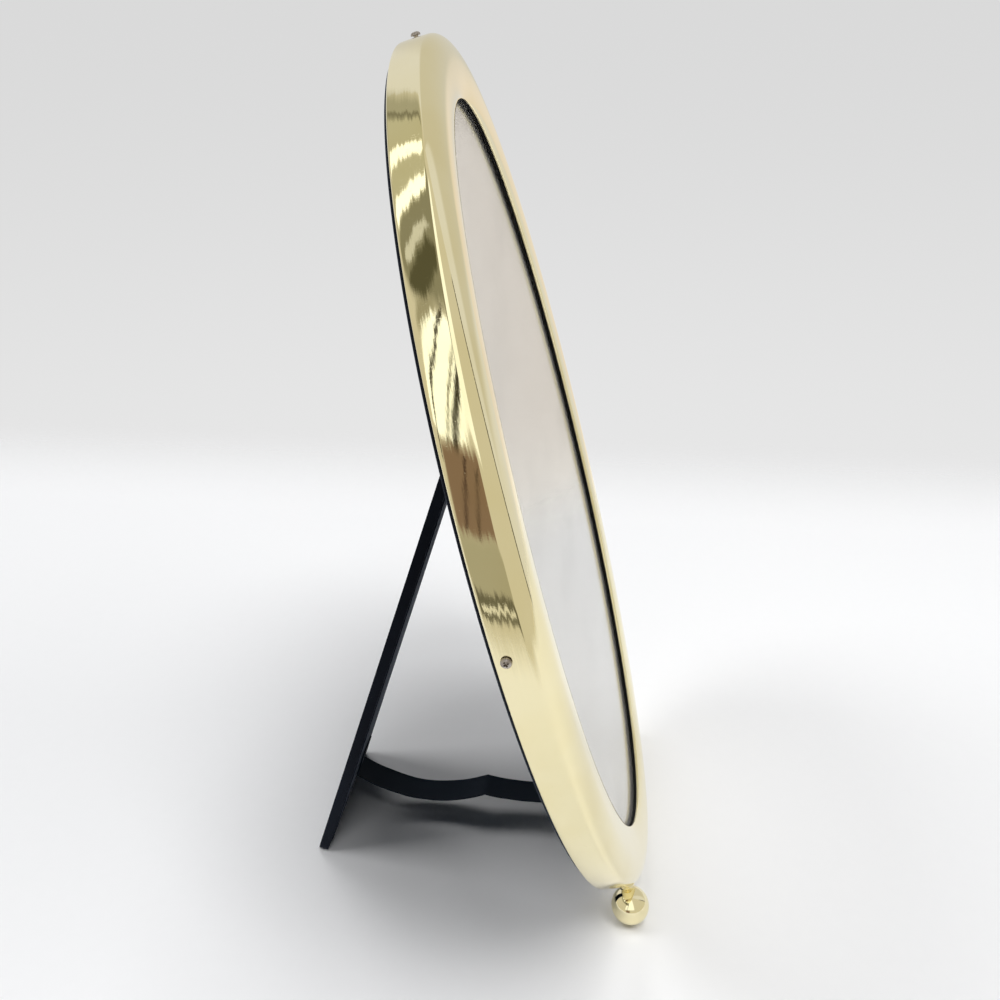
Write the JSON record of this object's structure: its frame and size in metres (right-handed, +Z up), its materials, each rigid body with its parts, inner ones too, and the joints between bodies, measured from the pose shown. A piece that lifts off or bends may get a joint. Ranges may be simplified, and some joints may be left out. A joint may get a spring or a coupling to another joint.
{
  "type": "oval picture frame",
  "caption": "Oval domed brass picture frame, glazed, on ball feet, with a velvet covered back and a hinged easel strut held by a ribbon.",
  "frame": {"origin": "on the floor under the middle of the object's bounding box, standing with the strut open", "axes": "+Z up, +X to the viewer's right, +Y from the glazed face towards the strut"},
  "size_m": [0.1502, 0.088, 0.1966],
  "materials": {
    "polished_brass": "polished and lacquered",
    "plated_steel": "zinc plated",
    "glass": "clear flat picture glass, faintly matt",
    "blank_paper": null,
    "grey_card": null,
    "hardboard": "smooth brown hardboard",
    "navy_velvet": "short pile, almost black",
    "navy_lining_cloth": "fine matt cloth",
    "navy_ribbon": "woven ribbon with a soft sheen"
  },
  "bodies": {
    "frame": {"bezel": "polished_brass", "glass_pane": "glass", "picture_insert": "blank_paper", "filler_card": "grey_card", "back_board": "hardboard", "back_velvet": "navy_velvet", "rim_screw_top": "plated_steel", "rim_screw_left": "plated_steel", "rim_screw_right": "plated_steel", "ball_foot_left": "polished_brass", "ball_foot_right": "polished_brass", "foot_collar_left": "polished_brass", "foot_collar_right": "polished_brass", "foot_stud_left": "plated_steel", "foot_stud_right": "plated_steel", "hinge_leaf_board": "plated_steel", "hinge_pin": "plated_steel", "hinge_rivet_board_left": "plated_steel", "hinge_rivet_board_right": "plated_steel", "ribbon": "navy_ribbon"},
    "strut": {"strut_board": "hardboard", "strut_velvet": "navy_velvet", "strut_lining": "navy_lining_cloth", "hinge_leaf_strut": "plated_steel", "hinge_rivet_strut_left": "plated_steel", "hinge_rivet_strut_right": "plated_steel"}
  },
  "joints": [
    {"name": "strut_hinge", "type": "hinge", "parent": "frame", "child": "strut", "pos_m": [0, 0.00016, 0.12691], "axis": [1, 0, 0], "range_deg": [-33.1, 0], "deforming": ["ribbon"]}
  ]
}
